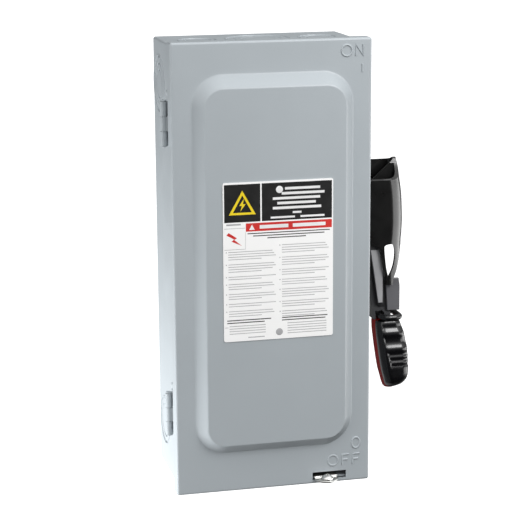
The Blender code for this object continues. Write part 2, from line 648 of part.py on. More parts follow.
def main():
    for obj in list(bpy.data.objects):
        bpy.data.objects.remove(obj)

    paint = finish("gray_paint", (0.40, 0.43, 0.45), 0.45)
    zinc = finish("zinc_plate", (0.72, 0.72, 0.70), 0.32, 1.0)
    lever_steel = finish("lever_steel", (0.07, 0.07, 0.075), 0.40, 0.3)
    black = finish("black_plastic", (0.012, 0.012, 0.013), 0.35)
    gray_plastic = finish("dark_gray_plastic", (0.11, 0.11, 0.12), 0.5)
    grip_black = finish("grip_black", (0.010, 0.010, 0.011), 0.22)
    grip_red = finish("grip_red", (0.62, 0.03, 0.03), 0.3)
    film = finish("label_film", (0.82, 0.82, 0.81), 0.4)
    phenolic = finish("phenolic", (0.03, 0.027, 0.025), 0.5)
    copper = finish("tinned_copper", (0.80, 0.48, 0.33), 0.3, 1.0)
    aluminium = finish("aluminium", (0.75, 0.76, 0.77), 0.35, 1.0)
    spring = finish("spring_steel", (0.35, 0.35, 0.36), 0.3, 1.0)
    fibre = finish("fuse_fibre", (0.35, 0.16, 0.08), 0.55)
    clear = finish("clear_shield", (0.85, 0.9, 0.92), 0.08, alpha=0.35)

    door_axis = joint_axis("door_axis", DOOR_AXIS_X, DOOR_AXIS_Y, 0)
    handle_axis = joint_axis("handle_axis", 90, AXIS_Y, AXIS_Z)
    rotor_axis = joint_axis("rotor_axis", 0, AXIS_Y, AXIS_Z)
    interlock_axis = joint_axis("interlock_axis", 74.5, -35, 70)

    enclosure_back(paint)
    enclosure_box(paint)
    cover_door(paint, door_axis)
    label_plate(film, door_axis)
    for which in HINGE_Z:
        hinge(which, paint, door_axis)
    latch(zinc)
    handle_base(black)
    lever_arm(lever_steel, handle_axis)
    handle_hood(black, handle_axis)
    lock_plate(gray_plastic, handle_axis)
    grip(grip_black, grip_red, handle_axis)
    mounting_pan(zinc)
    insulators(phenolic, clear)
    poles(copper, aluminium, zinc, fibre)
    ground_lug(aluminium)
    mechanism_frame(zinc)
    rotor_bearing(zinc)
    rotor(phenolic, copper, rotor_axis)
    drive(zinc, spring, handle_axis, rotor_axis)
    interlock(zinc, interlock_axis)


main()
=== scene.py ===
"""Looks of the wall-mounted safety switch (AC disconnect box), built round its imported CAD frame.

Lengths are in millimetres in the tables and helper calls, and MM turns them into metres. The camera, the
lights and the floor are placed in metres.
"""

import json
import math

import bmesh
import bpy
from mathutils import Matrix, Vector


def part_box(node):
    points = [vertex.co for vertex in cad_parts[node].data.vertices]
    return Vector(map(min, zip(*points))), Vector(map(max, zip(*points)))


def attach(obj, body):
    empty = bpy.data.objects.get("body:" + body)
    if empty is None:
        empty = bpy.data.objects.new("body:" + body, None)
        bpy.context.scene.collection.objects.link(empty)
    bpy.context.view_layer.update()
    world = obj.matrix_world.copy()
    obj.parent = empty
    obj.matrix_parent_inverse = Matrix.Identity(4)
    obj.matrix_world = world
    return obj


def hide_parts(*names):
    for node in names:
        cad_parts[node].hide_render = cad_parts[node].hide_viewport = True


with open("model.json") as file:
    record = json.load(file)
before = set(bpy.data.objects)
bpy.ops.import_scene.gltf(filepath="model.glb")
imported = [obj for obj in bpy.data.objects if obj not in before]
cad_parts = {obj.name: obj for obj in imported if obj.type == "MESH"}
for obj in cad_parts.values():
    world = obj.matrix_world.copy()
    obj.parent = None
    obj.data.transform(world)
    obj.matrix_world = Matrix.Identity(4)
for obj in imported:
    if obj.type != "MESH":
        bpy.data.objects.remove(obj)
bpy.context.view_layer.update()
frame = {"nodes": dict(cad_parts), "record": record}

MM = 0.001
NODES = frame["nodes"]
BODIES = frame["record"]["behaviour"]["bodies"]
BODY_OF = {node: body for body, nodes in BODIES.items() for node in nodes}
SLOT_OF = {row["node"]: row["material_slot"] for row in frame["record"]["subparts"]}


def box_mm(node):
    """Lowest and highest corner of a CAD node, in millimetres."""
    low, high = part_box(node)
    return low / MM, high / MM


COVER_LOW, COVER_HIGH = box_mm("cover_door")
LABEL_LOW, LABEL_HIGH = box_mm("label_plate")
BOX_LOW, BOX_HIGH = box_mm("enclosure_box")
SHEET = 1.5  # thickness of the box's and the cover's steel
PANEL_RISE = 8.5  # the raised panel's height over the cover's flat border
COVER_FRONT = COVER_LOW.y + PANEL_RISE
BOX_FRONT = BOX_LOW.y


# Materials


class Paint:
    """A node-based material, put together with a few calls."""

    def __init__(self, name, color, roughness, metallic=0.0, **sockets):
        self.material = bpy.data.materials.new(name)
        self.material.use_nodes = True
        self.tree = self.material.node_tree
        self.shader = self.tree.nodes["Principled BSDF"]
        self.shader.inputs["Base Color"].default_value = (*color, 1.0)
        self.shader.inputs["Roughness"].default_value = roughness
        self.shader.inputs["Metallic"].default_value = metallic
        for socket, value in sockets.items():
            self.shader.inputs[socket.replace("_", " ")].default_value = value
        self.color = color
        self.place = self.node("ShaderNodeTexCoord").outputs["Object"]

    def node(self, kind, **values):
        """A new shader node with some of its settings."""
        made = self.tree.nodes.new(kind)
        for name, value in values.items():
            setattr(made, name, value)
        return made

    def link(self, output, target):
        self.tree.links.new(output, target)

    def noise(self, scale, detail=2.0, stretch=(1, 1, 1)):
        """Soft noise over the surface, stretched along an axis if wanted."""
        mapping = self.node("ShaderNodeMapping")
        mapping.inputs["Scale"].default_value = stretch
        self.link(self.place, mapping.inputs["Vector"])
        made = self.node("ShaderNodeTexNoise")
        made.inputs["Scale"].default_value = scale
        made.inputs["Detail"].default_value = detail
        self.link(mapping.outputs["Vector"], made.inputs["Vector"])
        return made.outputs["Fac"]

    def cells(self, scale):
        """Distance from the middle of each cell, for spangle."""
        made = self.node("ShaderNodeTexVoronoi")
        made.inputs["Scale"].default_value = scale
        self.link(self.place, made.inputs["Vector"])
        return made.outputs["Distance"]

    def ramp(self, value, low, high, start=0.3, end=0.7):
        """Maps start..end of a value onto low..high."""
        made = self.node("ShaderNodeMapRange")
        made.inputs["From Min"].default_value = start
        made.inputs["From Max"].default_value = end
        made.inputs["To Min"].default_value = low
        made.inputs["To Max"].default_value = high
        self.link(value, made.inputs["Value"])
        return made.outputs["Result"]

    def mix(self, factor, first, second):
        """Sets the base colour between two, by a factor from 0 to 1."""
        made = self.node("ShaderNodeMix", data_type="RGBA")
        self.link(factor, made.inputs[0])
        made.inputs[6].default_value = (*first, 1.0)
        made.inputs[7].default_value = (*second, 1.0)
        self.link(made.outputs[2], self.shader.inputs["Base Color"])

    def tint(self, factor, darker, lighter):
        """Varies the base colour between two multiples of it."""
        low = tuple(c * darker for c in self.color)
        high = tuple(min(1.0, c * lighter) for c in self.color)
        self.mix(factor, low, high)

    def rough(self, factor, low, high):
        """Varies the roughness between two values."""
        self.link(self.ramp(factor, low, high), self.shader.inputs["Roughness"])

    def bump(self, height, distance):
        """Bumps the surface by a depth in millimetres."""
        made = self.node("ShaderNodeBump")
        made.inputs["Distance"].default_value = distance * MM
        self.link(height, made.inputs["Height"])
        self.link(made.outputs["Normal"], self.shader.inputs["Normal"])


def enamel():
    """Light gray baked enamel: faint orange peel, faint cloudiness."""
    paint = Paint("gray_enamel", (0.395, 0.432, 0.456), 0.36, Specular_IOR_Level=0.5)
    cloud = paint.noise(9.0, 3.0)
    paint.tint(paint.ramp(cloud, 0.0, 1.0), 0.975, 1.025)
    paint.rough(paint.noise(60.0, 3.0), 0.32, 0.42)
    paint.bump(paint.noise(480.0, 2.0), 0.035)
    return paint.material


def zinc():
    """Bright zinc plate with soft spangle and fine scratches."""
    paint = Paint("bright_zinc", (0.78, 0.78, 0.76), 0.34, 1.0)
    paint.tint(paint.ramp(paint.cells(420.0), 0.0, 1.0, 0.0, 1.0), 0.93, 1.03)
    paint.rough(paint.noise(220.0, 4.0), 0.28, 0.42)
    paint.bump(paint.noise(900.0, 2.0, stretch=(1, 1, 8)), 0.012)
    return paint.material


def satin_black():
    """Black moulding with a fine grain under a glossy skin."""
    paint = Paint(
        "satin_black", (0.004, 0.004, 0.004), 0.3,
        Specular_IOR_Level=0.3, Coat_Weight=0.8, Coat_Roughness=0.12,
    )
    paint.tint(paint.ramp(paint.noise(30.0, 2.0), 0.0, 1.0), 0.9, 1.1)
    paint.rough(paint.noise(90.0, 3.0), 0.26, 0.36)
    paint.bump(paint.noise(1500.0, 2.0), 0.015)
    return paint.material


def gloss(name, color, low, high):
    """Shiny moulded plastic with slight flow marks."""
    paint = Paint(name, color, low, Coat_Weight=0.3, Coat_Roughness=0.08)
    paint.tint(paint.ramp(paint.noise(30.0, 2.0), 0.0, 1.0), 0.85, 1.1)
    paint.rough(paint.noise(160.0, 3.0), low, high)
    paint.bump(paint.noise(240.0, 2.0), 0.03)
    return paint.material


def matt(name, color, low, high, grain=900.0, depth=0.02, shine=0.5):
    """Plain moulded or painted surface with a fine grain."""
    paint = Paint(name, color, low, Specular_IOR_Level=shine)
    paint.tint(paint.ramp(paint.noise(40.0, 3.0), 0.0, 1.0), 0.9, 1.08)
    paint.rough(paint.noise(120.0, 3.0), low, high)
    paint.bump(paint.noise(grain, 2.0), depth)
    return paint.material


def metal(name, color, low, high, stretch=(1, 1, 12), tarnish=None):
    """Bare metal drawn or rolled along one direction, with optional tarnish."""
    paint = Paint(name, color, low, 1.0)
    lines = paint.noise(700.0, 3.0, stretch=stretch)
    if tarnish:
        patches = paint.ramp(paint.noise(70.0, 4.0), 0.0, 0.7)
        paint.mix(patches, color, tarnish)
    else:
        paint.tint(paint.ramp(lines, 0.0, 1.0), 0.92, 1.03)
    paint.rough(lines, low, high)
    paint.bump(lines, 0.01)
    return paint.material


def ink(name, color, low=0.3, high=0.4):
    """Print on the label: nearly flat."""
    return matt(name, color, low, high, 300.0, 0.01)


def label_paper():
    """Bright white film, very faintly uneven."""
    paint = Paint("label_white", (0.95, 0.95, 0.945), 0.42)
    paint.tint(paint.ramp(paint.noise(90.0, 2.0), 0.0, 1.0), 0.99, 1.005)
    paint.rough(paint.noise(120.0, 3.0), 0.4, 0.48)
    paint.bump(paint.noise(300.0, 2.0), 0.008)
    return paint.material


def clear_plastic():
    """Clear sheet, faintly rippled."""
    paint = Paint("clear_shield", (0.86, 0.90, 0.92), 0.06, Alpha=0.32)
    paint.rough(paint.noise(50.0, 3.0), 0.05, 0.14)
    paint.bump(paint.noise(60.0, 2.0), 0.05)
    return paint.material


# One finish for each material slot of the record.
FINISH = {
    "gray_paint": enamel(),
    "zinc_plate": zinc(),
    "black_plastic": satin_black(),
    "lever_steel": matt("lever_enamel", (0.05, 0.051, 0.054), 0.30, 0.42),
    "dark_gray_plastic": matt("lock_plate_gray", (0.115, 0.115, 0.125), 0.42, 0.55),
    "grip_black": gloss("grip_black", (0.006, 0.006, 0.007), 0.2, 0.3),
    "grip_red": matt("grip_red", (0.50, 0.02, 0.018), 0.5, 0.62, shine=0.12),
    "label_film": label_paper(),
    "phenolic": matt("phenolic", (0.028, 0.026, 0.025), 0.38, 0.52),
    "tinned_copper": metal("tinned_copper", (0.83, 0.50, 0.34), 0.22, 0.36, tarnish=(0.62, 0.40, 0.30)),
    "aluminium": metal("lug_aluminium", (0.80, 0.81, 0.82), 0.26, 0.40),
    "spring_steel": metal("spring_steel", (0.30, 0.30, 0.32), 0.22, 0.34),
    "fuse_fibre": matt("fuse_tube", (0.33, 0.17, 0.09), 0.45, 0.6),
    "clear_shield": clear_plastic(),
}

# Finishes for single pieces whose look differs from the rest of their slot.
TRIM = {
    "ferrule_brass": metal("ferrule_brass", (0.80, 0.60, 0.28), 0.2, 0.32, (1, 1, 3), (0.62, 0.44, 0.22)),
    # Pale gray for the hood's bevelled rims: a painted highlight along its edges, standing in for light
    # caught on them.
    "painted_edge_highlight": matt("painted_edge_highlight", (0.38, 0.38, 0.39), 0.4, 0.5),
    "lever_face": matt("lever_face_gray", (0.37, 0.37, 0.38), 0.36, 0.5, 500.0, 0.03),
    "black": ink("print_black", (0.012, 0.012, 0.012)),
    "red": ink("print_red", (0.62, 0.035, 0.03)),
    "amber": ink("print_amber", (0.88, 0.66, 0.02)),
    "gray": ink("print_gray", (0.42, 0.42, 0.43), 0.4, 0.5),
    "white": ink("print_white", (0.85, 0.85, 0.85), 0.35, 0.45),
}

for node, obj in NODES.items():
    for material_slot in obj.material_slots:
        material_slot.material = FINISH[SLOT_OF[node]]


# Pieces


def linked(name, data):
    """A new object in the scene, from a mesh, a curve, a light or a camera."""
    obj = bpy.data.objects.new(name, data)
    bpy.context.collection.objects.link(obj)
    return obj


def add_piece(name, mesh, slot, body, replaced=(), material=None):
    """Puts a finished mesh in the scene as a piece on a CAD body."""
    obj = linked(name, mesh)
    mesh.materials.clear()
    mesh.materials.append(material or FINISH[slot])
    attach(obj, body)
    if replaced:
        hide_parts(*replaced)
    return obj


def smooth(obj, angle=35.0, weighted=True):
    """Smooth shading that keeps flat faces flat and edges over the angle sharp."""
    obj.data.shade_smooth()
    obj.data.set_sharp_from_angle(angle=math.radians(angle))
    if weighted:
        modifier = obj.modifiers.new("flat_faces", "WEIGHTED_NORMAL")
        modifier.keep_sharp = True
        modifier.weight = 100


def bevel(obj, width, segments, angle=35.0, edge=None):
    """Rounds the edges over the angle, in the edge material if one is given."""
    modifier = obj.modifiers.new("soft_edges", "BEVEL")
    modifier.width = width * MM
    modifier.segments = segments
    modifier.limit_method = "ANGLE"
    modifier.angle_limit = math.radians(angle)
    if edge:
        obj.data.materials.append(edge)
        modifier.material = 1


def softened(node, width, segments=2, sharp=35.0):
    """A finer copy of a CAD node: merged, cleaned, with its edges rounded."""
    mesh = NODES[node].data.copy()
    bm = bmesh.new()
    bm.from_mesh(mesh)
    bmesh.ops.remove_doubles(bm, verts=bm.verts, dist=2e-6)
    bmesh.ops.dissolve_limit(bm, angle_limit=math.radians(0.5), verts=bm.verts, edges=bm.edges)
    bm.to_mesh(mesh)
    bm.free()
    obj = add_piece("fine_" + node, mesh, SLOT_OF[node], BODY_OF[node], [node])
    bevel(obj, width, segments)
    smooth(obj, sharp)


def mesh_from(name, points, faces):
    """A mesh from points in millimetres, its faces turned outward."""
    bm = bmesh.new()
    verts = [bm.verts.new(Vector(point) * MM) for point in points]
    for face in faces:
        bm.faces.new([verts[i] for i in face])
    bmesh.ops.recalc_face_normals(bm, faces=bm.faces)
    mesh = bpy.data.meshes.new(name)
    bm.to_mesh(mesh)
    bm.free()
    return mesh


def shaped(name, shape, slot, body, replaced=(), material=None):
    """A piece from a shape, which is (points, faces) in millimetres."""
    return add_piece(name, mesh_from(name, *shape), slot, body, replaced, material)


def joined(name, parts):
    """One mesh from several, which are used up."""
    bm = bmesh.new()
    for part in parts:
        bm.from_mesh(part)
        bpy.data.meshes.remove(part)
    mesh = bpy.data.meshes.new(name)
    bm.to_mesh(mesh)
    bm.free()
    return mesh


def final_mesh(obj):
    """A copy of the object's mesh with its modifiers or its curve bevel worked out."""
    graph = bpy.context.evaluated_depsgraph_get()
    return bpy.data.meshes.new_from_object(obj.evaluated_get(graph))


def loft(rings, closed=False):
    """A skin over rings of equal length, capped unless closed end to end."""
    count = len(rings[0])
    points = [point for ring in rings for point in ring]
    faces = []
    for i in range(len(rings) if closed else len(rings) - 1):
        a = i * count
        b = (i + 1) % len(rings) * count
        for j in range(count):
            k = (j + 1) % count
            faces.append((a + j, a + k, b + k, b + j))
    if not closed:
        faces.append(tuple(range(count)))
        faces.append(tuple(range(len(points) - count, len(points))))
    return points, faces


def arc(a, b, r, start, sweep, steps):
    """Points round (a, b), from the start angle through the sweep, both in degrees."""
    points = []
    for i in range(steps + 1):
        angle = math.radians(start + sweep * i / steps)
        points.append((a + r * math.cos(angle), b + r * math.sin(angle)))
    return points


def rounded(a0, a1, b0, b1, r, steps=16):
    """A rectangle with round corners, its points from the high corner round."""
    corners = ((a1 - r, b1 - r, 0), (a0 + r, b1 - r, 90), (a0 + r, b0 + r, 180), (a1 - r, b0 + r, 270))
    points = []
    for a, b, start in corners:
        points += arc(a, b, r, start, 90, steps)
    return points


def bend(radius, steps):
    """Steps round a bent edge: how far in from the first face, and how far from the second."""
    for i in range(steps + 1):
        angle = math.radians(90 * i / steps)
        yield radius * (1 - math.cos(angle)), radius * (1 - math.sin(angle))


def oval(a, b, ra, rb, sides=36):
    """Points round an ellipse centred on (a, b)."""
    turn = 2 * math.pi / sides
    return [(a + ra * math.cos(i * turn), b + rb * math.sin(i * turn)) for i in range(sides)]


def place(axis, a, b, t):
    """The point at (a, b) in the plane across axis, t along it."""
    return {"X": (t, a, b), "Y": (a, t, b), "Z": (a, b, t)}[axis]


def prism(axis, outline, low, high):
    """An outline drawn out along axis, from low to high."""
    return loft([[place(axis, a, b, t) for a, b in outline] for t in (low, high)])


def block(x0, x1, y0, y1, z0, z1):
    """A plain box."""
    return prism("Z", [(x0, y0), (x1, y0), (x1, y1), (x0, y1)], z0, z1)


def turned(axis, a, b, profile, sides=48, bored=False):
    """A round shape from (radius, distance along axis) pairs; bored closes the profile on itself."""
    rings = [[place(axis, u, v, t) for u, v in oval(a, b, r, r, sides)] for r, t in profile]
    return loft(rings, closed=bored)


def bore(axis, a, b, r, low, high):
    """A plain round hole's cutter."""
    return turned(axis, a, b, [(r, low), (r, high)])


def cut(obj, *shapes, operation="DIFFERENCE"):
    """Cuts shapes out of a mesh object, or joins them to it."""
    for shape in shapes:
        tool = linked("tool", mesh_from("tool", *shape))
        modifier = obj.modifiers.new("cut", "BOOLEAN")
        modifier.operation = operation
        modifier.object = tool
        bpy.context.view_layer.update()
        result = final_mesh(obj)
        obj.modifiers.remove(modifier)
        obj.data = result
        bpy.data.objects.remove(tool)


def eased(points, steps=6, closed=False):
    """A smooth line through points, as Catmull-Rom spans."""
    count = len(points)
    result = []
    for i in range(count if closed else count - 1):
        if closed:
            four = [points[(i + k) % count] for k in (-1, 0, 1, 2)]
        else:
            four = [points[min(max(i + k, 0), count - 1)] for k in (-1, 0, 1, 2)]
        for step in range(steps):
            t = step / steps
            weights = (
                -0.5 * t + t * t - 0.5 * t**3,
                1 - 2.5 * t * t + 1.5 * t**3,
                0.5 * t + 2 * t * t - 1.5 * t**3,
                -0.5 * t * t + 0.5 * t**3,
            )
            result.append(tuple(sum(w * value for w, value in zip(weights, row)) for row in zip(*four)))
    if not closed:
        result.append(tuple(points[-1]))
    return result


# Cover

PANEL_FOOT = (-66.5, 67.0, -152.0, 160.5, 26.0)  # x0, x1, z0, z1 and corner radius at the slope's foot
PANEL_TOP = (-56.2, 58.0, -142.8, 148.6, 15.0)  # the same at its top
OUTWARD = (-1, 1, -1, 1)  # the way out for x0, x1, z0 and z1
SLOPE_STEPS = 18
SLOPE_FILLET = 0.18  # the part of the slope that each fillet takes up
PANEL_INSET = 0.8  # how much smaller the panel's inner face is, all round
COVER_CORNER = 1.8
COVER_BEND = 1.9
LATCH_SLOT = (33.0, 62.0, -97.0, -88.0, -182.3, -175.6)


def slope_rise(t):
    """Height, 0 to 1, at t across the panel's slope: straight, with a fillet at each end."""
    soft = SLOPE_FILLET
    top = 1 / (1 - soft)
    if t < soft:
        return top * t * t / (2 * soft)
    if t > 1 - soft:
        return 1 - top * (1 - t) ** 2 / (2 * soft)
    return top * (t - soft / 2)


def cover():
    """The pan-shaped cover: turned edges, and the raised panel drawn up on a filleted slope."""
    half_x, half_z = COVER_HIGH.x, COVER_HIGH.z
    inner_x, inner_z = half_x - SHEET, half_z - SHEET
    back, front = COVER_HIGH.y, COVER_FRONT
    rings = []

    def ring(y, x0, x1, z0, z1, r):
        rings.append([(x, y, z) for x, z in rounded(x0, x1, z0, z1, r)])

    def centred(y, x, z, r):
        ring(y, -x, x, -z, z, r)

    def slope(offset, inset, steps):
        for i in steps:
            t = i / SLOPE_STEPS
            outline = [a + (b - a) * t for a, b in zip(PANEL_FOOT, PANEL_TOP)]
            for side, outward in enumerate(OUTWARD):
                outline[side] -= outward * inset
            ring(front + offset - PANEL_RISE * slope_rise(t), *outline)

    slope(SHEET, PANEL_INSET, reversed(range(SLOPE_STEPS + 1)))
    centred(front + SHEET, inner_x - 2, inner_z - 2, 0.6)
    centred(front + SHEET, inner_x - 1, inner_z - 1, 0.8)
    centred(front + SHEET + 1, inner_x, inner_z, 0.9)
    centred(back, inner_x, inner_z, 0.9)
    centred(back, half_x, half_z, COVER_CORNER)
    for inset, out in bend(COVER_BEND, 8):
        centred(front + out, half_x - inset, half_z - inset, COVER_CORNER - inset * 0.5)
    centred(front, half_x - 4, half_z - 4, 1.0)
    ring(front, *(value + 2 * outward for value, outward in zip(PANEL_FOOT, OUTWARD + (1,))))
    slope(0.0, 0.0, range(SLOPE_STEPS + 1))
    obj = shaped("cover_shell", loft(rings), "gray_paint", "cover", ["cover_door"])
    cut(obj, block(*LATCH_SLOT))
    smooth(obj, 40.0)


STROKE_WIDTH = 1.7
STROKE_HEIGHT = 0.75
LETTER = 8.8  # height of the stamped letters


def stroke(name, points, closed):
    """One stamped line of a letter: a low round ridge along points (x, z) on the cover's border."""
    curve = bpy.data.curves.new(name, "CURVE")
    curve.dimensions = "3D"
    curve.bevel_depth = STROKE_WIDTH / 2 * MM
    curve.bevel_resolution = 5
    curve.use_fill_caps = True
    spline = curve.splines.new("POLY")
    spline.points.add(len(points) - 1)
    for target, (x, z) in zip(spline.points, points):
        target.co = (x * MM, 0.0, z * MM, 1.0)
    spline.use_cyclic_u = closed
    holder = linked(name, curve)
    mesh = final_mesh(holder)
    bpy.data.objects.remove(holder)
    flatten = Matrix.Diagonal((1, STROKE_HEIGHT / (STROKE_WIDTH / 2), 1, 1))
    mesh.transform(Matrix.Translation((0, COVER_FRONT * MM, 0)) @ flatten)
    return mesh


def letter(kind, x, base):
    """The strokes, each (points, closed), of an O, N or F that starts at x and stands on base."""
    top, middle = base + LETTER, base + LETTER / 2
    if kind == "O":
        return [(oval(x + 4.3, middle, 4.3, LETTER / 2), True)]
    if kind == "N":
        return [([(x, base), (x, top), (x + 6.0, base), (x + 6.0, top)], False)]
    return [([(x, base), (x, top), (x + 5.8, top)], False), ([(x, middle), (x + 4.6, middle)], False)]


def letters():
    """ON over its bar at the top, and O over OFF at the bottom, stamped in the cover's border."""
    on_bar = ([(74.0, 158.2), (74.0, 164.4)], False)
    off_ring = (oval(70.4, -152.2, 3.4, 4.6), True)
    on_base, off_base = 171.2, -170.6
    marks = {
        "mark_on": letter("O", 56.7, on_base) + letter("N", 68.6, on_base) + [on_bar],
        "mark_off": [off_ring]
        + letter("O", 46.3, off_base) + letter("F", 58.6, off_base) + letter("F", 67.8, off_base),
    }
    for name, strokes in marks.items():
        mesh = joined(name, [stroke(name, *row) for row in strokes])
        smooth(add_piece(name, mesh, "gray_paint", "cover"), 60.0, weighted=False)


# Label: generic signs and bars in place of words. Places and sizes are fractions of its width and height,
# from its upper left corner, except the outlines of the signs, in millimetres.

LABEL_FACE = LABEL_LOW.y
LABEL_WIDTH = LABEL_HIGH.x - LABEL_LOW.x
LABEL_HEIGHT = LABEL_HIGH.z - LABEL_LOW.z
LAYER = 0.02  # how far each layer of print stands over the one below
LINE = 0.0045  # height of a fine line
SIGN = ((-11.0, -9.0), (11.0, -9.0), (0.0, 10.5))
SIGN_INNER = ((-7.7, -7.2), (7.7, -7.2), (0.0, 6.6))
BOLT = ((1.3, 4.0), (-2.5, -1.7), (-0.3, -1.7), (-1.7, -6.2), (2.7, -0.4), (0.5, -0.4))
SMALL_SIGN = ((0.0, 0.0), (4.6, 0.0), (2.3, 4.3))
FIGURE = (  # a small bolt, in fractions
    (0.05, 0.31), (0.125, 0.345), (0.1, 0.355), (0.17, 0.395), (0.075, 0.365), (0.1, 0.352), (0.03, 0.325),
)
HEADER_LINES = (  # right, down, long, tall
    (0.56, 0.042, 0.32, 0.016), (0.53, 0.072, 0.39, 0.016), (0.45, 0.102, 0.43, 0.016),
    (0.49, 0.132, 0.35, 0.016), (0.45, 0.162, 0.44, 0.016), (0.63, 0.194, 0.08, 0.013),
    (0.43, 0.222, 0.22, 0.012), (0.7, 0.222, 0.22, 0.012),
)
# Each column's right and down, and the lines in each of its paragraphs.
COLUMNS = ((0.045, 0.43, (4, 4, 2, 3, 3, 2, 3)), (0.53, 0.4, (4, 4, 3, 3, 4, 3, 3)))
FOOT_LINES = (
    (0.03, 0.862, 0.4, 0.006), (0.03, 0.878, 0.34, 0.006),
    (0.53, 0.862, 0.42, 0.006), (0.53, 0.878, 0.4, 0.006),
)


def spot(right, down):
    """The label's point (x, z) at these fractions."""
    return LABEL_LOW.x + right * LABEL_WIDTH, LABEL_HIGH.z - down * LABEL_HEIGHT


def bar(right, down, long, tall):
    """A bar's outline, from its upper left corner, length and height."""
    x0, z0 = spot(right, down + tall)
    x1, z1 = x0 + long * LABEL_WIDTH, z0 + tall * LABEL_HEIGHT
    return [(x0, z0), (x1, z0), (x1, z1), (x0, z1)]


def moved(outline, right, down):
    """An outline in millimetres, moved to a spot."""
    x, z = spot(right, down)
    return [(x + a, z + b) for a, b in outline]


def printed(name, color, outlines, layer=1):
    """Print of one colour: every outline becomes a thin plate on the label's face."""
    front = LABEL_FACE - layer * LAYER
    plates = [mesh_from(name, *prism("Y", outline, front, front + 0.1)) for outline in outlines]
    add_piece(name, joined(name, plates), "label_film", "cover", material=TRIM[color])


def label_header():
    """Two dark fields: a bolt in an amber triangle, and lines in place of words."""
    printed("label_header", "black", [bar(0.012, 0.012, 0.325, 0.235), bar(0.35, 0.012, 0.638, 0.235)])
    middle = (0.175, 0.132)
    printed("label_sign", "amber", [moved(SIGN, *middle)], 2)
    printed("label_sign_inner", "black", [moved(SIGN_INNER, *middle)], 3)
    printed("label_bolt", "amber", [moved(BOLT, *middle)], 4)
    printed("label_header_lines", "white", [bar(*row) for row in HEADER_LINES], 2)


def label_band():
    """The red band with pale lines on it, the small framed bolt at its left, and dark lines below."""
    printed("label_band", "red", [bar(0.205, 0.256, 0.783, 0.052)])
    pale = [bar(0.33, 0.271, 0.26, 0.022), bar(0.63, 0.271, 0.3, 0.022), moved(SMALL_SIGN, 0.235, 0.298)]
    printed("label_band_lines", "white", pale, 2)
    printed("label_strap_line", "gray", [bar(0.03, 0.256, 0.13, 0.01)])
    edges = [bar(0.01, 0.283, 0.19, 0.003), bar(0.01, 0.415, 0.19, 0.003), bar(0.2, 0.31, 0.003, 0.108)]
    printed("label_figure_frame", "gray", edges)
    printed("label_figure", "red", [[spot(*point) for point in FIGURE]])
    dark = [bar(0.22, 0.318, 0.75, 0.006), bar(0.27, 0.334, 0.65, 0.006), bar(0.4, 0.35, 0.35, 0.006)]
    printed("label_dark_lines", "black", dark)


def label_columns():
    """Two columns of gray lines in short paragraphs with bullets, and the lines at the foot."""
    marks = []
    for right, down, paragraphs in COLUMNS:
        for index, rows in enumerate(paragraphs):
            marks.append(oval(*spot(right - 0.018, down + 0.003), 0.5, 0.5, 10))
            for row in range(rows):
                long = 0.3 if row == rows - 1 else 0.4 + 0.015 * ((row + index) % 3)
                marks.append(bar(right, down, long, LINE))
                down += 0.0155
            down += 0.016
    printed("label_gray_lines", "gray", marks)
    printed("label_foot", "black", [bar(*row) for row in FOOT_LINES])
    tail = [bar(0.05, 0.9 + 0.016 * row, 0.33, LINE) for row in range(4)]
    tail += [bar(0.58, 0.9 + 0.016 * row, 0.36, LINE) for row in range(5)]
    tail += [bar(0.01, 0.907, 0.03, 0.003), bar(0.22, 0.975, 0.15, 0.006)]
    printed("label_tail", "gray", tail)


def label_discs():
    """The two low round studs that show through the label."""
    section = ((2.9, 0.05), (2.7, 0.12), (1.8, 0.18), (0.5, 0.2))
    for name, right, down, color in (("upper", 0.51, 0.055, "white"), ("lower", 0.505, 0.955, "gray")):
        disc = turned("Y", *spot(right, down), [(r, LABEL_FACE - rise) for r, rise in section], 32)
        piece = shaped(f"label_disc_{name}", disc, "label_film", "cover", material=TRIM[color])
        smooth(piece, 50.0, weighted=False)


# Box

LIP = 6.0  # depth of the lip turned in round the box's front
SIDE_KNOCKOUTS = ((-25, 146, (22.0, 16.5, 11.5)), (-25, -141, (19.0, 14.0)))  # y, z and rings' radii
END_KNOCKOUTS = ((0, -44, (25.0, 19.0, 14.0)), (-50, -44, (14.25, 9.5)), (50, -44, (14.25, 9.5)))  # x, y
HANDLE_HOLE = (-50.0, 33.0, 8.0)  # y, z and radius
KEYHOLE = (0, 170, 4.6)  # x, z and radius
FOOT_HOLES = ((-60, -166, 3.6), (60, -166, 3.6))


def knockout(axis, a, b, radii, face):
    """A knockout's stamped circles, as grooves to cut, and the low bead round them, to join on."""
    out = math.copysign(1.0, face)

    def stamped(radius, *section):
        """A ring whose section is given from the radius and from the wall's face."""
        profile = [(radius + wide, face + out * rise) for wide, rise in section]
        return turned(axis, a, b, profile, 72, bored=True)

    grooves = [stamped(r, (0.5, -0.8), (0.8, 0.5), (-0.8, 0.5), (-0.5, -0.8)) for r in radii]
    return grooves, stamped(radii[0], (0.9, -0.6), (1.2, 0.42), (1.9, 0.42), (2.3, -0.6))


